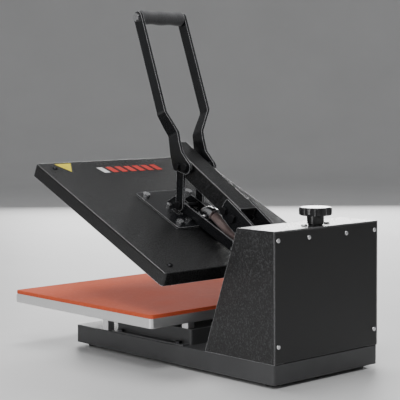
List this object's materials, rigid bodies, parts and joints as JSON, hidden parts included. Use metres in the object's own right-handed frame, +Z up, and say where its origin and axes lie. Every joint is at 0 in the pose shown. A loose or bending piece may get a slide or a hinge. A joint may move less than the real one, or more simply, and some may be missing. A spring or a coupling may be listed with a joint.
{
  "type": "clamshell tabletop press",
  "caption": "Tabletop clamshell press: a hinged, heated square platen on toggle arms, pulled down by a tall handle onto a padded lower platen, with a rear tower.",
  "frame": {"origin": "centre of the base's footprint, on the surface that the rubber feet stand on", "axes": "+Z up, +Y to the back of the press, +X to the operator's right"},
  "size_m": [0.38, 0.5864, 0.5925],
  "materials": {
    "black_coat": "textured black powder coat",
    "arm_coat": "smooth black powder coat",
    "base_coat": "satin dark grey paint",
    "bright_steel": "bright zinc plate",
    "black_screw": "black oxide",
    "platen_aluminium": "milled aluminium",
    "cast_aluminium": "cast and faced, coated",
    "silicone": "matt silicone sponge",
    "foam": "soft black foam",
    "foot_rubber": "black rubber",
    "black_plastic": "moulded black plastic",
    "knob_plastic": "moulded black plastic",
    "button_plastic": "grey moulded plastic",
    "rocker_plastic": "red moulded plastic",
    "dark_window": "smoked window",
    "board": "green circuit board",
    "bronze": "sintered bronze",
    "gland_metal": "nickel plate",
    "lead_sleeve": "braided glass-fibre sleeve",
    "insulation": "pressed mineral fibre",
    "spring_steel": "oiled spring wire"
  },
  "bodies": {
    "press": {"base_frame": "base_coat", "rubber_feet": "foot_rubber", "base_bolts": "bright_steel", "platen_pedestal": "base_coat", "platen_posts": "platen_aluminium", "lower_platen": "platen_aluminium", "silicone_pad": "silicone", "tower_shell": "black_coat", "back_cover": "arm_coat", "tower_screws": "bright_steel", "hinge_bracket_left": "arm_coat", "hinge_bracket_right": "arm_coat", "main_shaft": "bright_steel", "shaft_circlips": "spring_steel", "screw_bracket": "arm_coat", "lift_spring_left": "spring_steel", "lift_spring_right": "spring_steel", "controller_case": "black_plastic", "controller_bezel": "black_plastic", "controller_board": "board", "display_window": "dark_window", "switch_frame": "black_plastic", "power_inlet": "black_plastic", "terminal_block": "button_plastic"},
    "upper_arm": {"upper_arm_channel": "black_coat", "upper_side_plate_left": "arm_coat", "upper_side_plate_right": "arm_coat", "side_plate_bolts": "bright_steel", "upper_bushes": "bronze", "tail_crossbar": "bright_steel", "handle_pivot_bolts": "bright_steel"},
    "heated_platen": {"lower_arm_channel": "arm_coat", "lower_side_plate_left": "arm_coat", "lower_side_plate_right": "arm_coat", "lower_bushes": "bronze", "lower_arm_bolts": "bright_steel", "mount_plate": "arm_coat", "mount_bolts": "bright_steel", "platen_cover": "black_coat", "cover_screws": "black_screw", "insulation_board": "insulation", "heating_platen": "cast_aluminium", "heating_element": "spring_steel", "cable_gland": "gland_metal", "heater_lead": "lead_sleeve"},
    "handle": {"handle_bar_left": "arm_coat", "handle_bar_right": "arm_coat", "grip_core": "bright_steel", "grip_foam": "foam", "handle_bolts": "bright_steel"},
    "links": {"link_left": "arm_coat", "link_right": "arm_coat", "link_pin": "bright_steel"},
    "knob": {"pressure_knob": "knob_plastic", "pressure_screw": "bright_steel"},
    "pressure_nut": {"nut_block": "bright_steel"},
    "rocker": {"power_rocker": "rocker_plastic"},
    "set_button": {"button_set": "button_plastic"},
    "down_button": {"button_down": "button_plastic"},
    "up_button": {"button_up": "button_plastic"}
  },
  "joints": [
    {"name": "arm_swing", "type": "hinge", "parent": "press", "child": "upper_arm", "pos_m": [0, 0.1625, 0.064], "axis": [1, 0, 0], "range_deg": [0, 21.62], "stiffness_Nm_per_rad": 40, "springref_deg": -57.3, "deforming": ["lift_spring_left", "lift_spring_right"]},
    {"name": "handle_pull", "type": "hinge", "parent": "upper_arm", "child": "handle", "pos_m": [0, -0.051, 0.3213], "axis": [1, 0, 0], "range_deg": [0, 70.26]},
    {"name": "platen_press", "type": "hinge", "parent": "upper_arm", "child": "heated_platen", "pos_m": [0, 0.1625, 0.064], "axis": [1, 0, 0], "range_deg": [0, 3.38]},
    {"name": "link_turn", "type": "hinge", "parent": "handle", "child": "links", "pos_m": [0, -0.07097, 0.32235], "axis": [1, 0, 0], "range_deg": [-90.28, 0]},
    {"name": "knob_turn", "type": "hinge", "parent": "press", "child": "knob", "pos_m": [0, 0.2215, 0.24], "axis": [0, 0, -1], "range_deg": [0, 1080]},
    {"name": "nut_climb", "type": "slide", "parent": "press", "child": "pressure_nut", "axis": [0, 0, 1], "range_m": [0, 0.00601]},
    {"name": "power_switch", "type": "hinge", "parent": "press", "child": "rocker", "pos_m": [-0.08, 0.15749, 0.17292], "axis": [1, 0, 0], "range_deg": [0, 18]},
    {"name": "set_press", "type": "slide", "parent": "press", "child": "set_button", "axis": [0, 0.9384, -0.3457], "range_m": [0, 0.0012], "stiffness_N_per_m": 500},
    {"name": "down_press", "type": "slide", "parent": "press", "child": "down_button", "axis": [0, 0.9384, -0.3457], "range_m": [0, 0.0012], "stiffness_N_per_m": 500},
    {"name": "up_press", "type": "slide", "parent": "press", "child": "up_button", "axis": [0, 0.9384, -0.3457], "range_m": [0, 0.0012], "stiffness_N_per_m": 500}
  ],
  "couplings": [
    {"joint": "platen_press", "follows": "handle_pull", "ratio": 0.048087},
    {"joint": "link_turn", "follows": "handle_pull", "ratio": -1.2847},
    {"joint": "nut_climb", "follows": "knob_turn", "m_per_rad": 0.00031831}
  ]
}
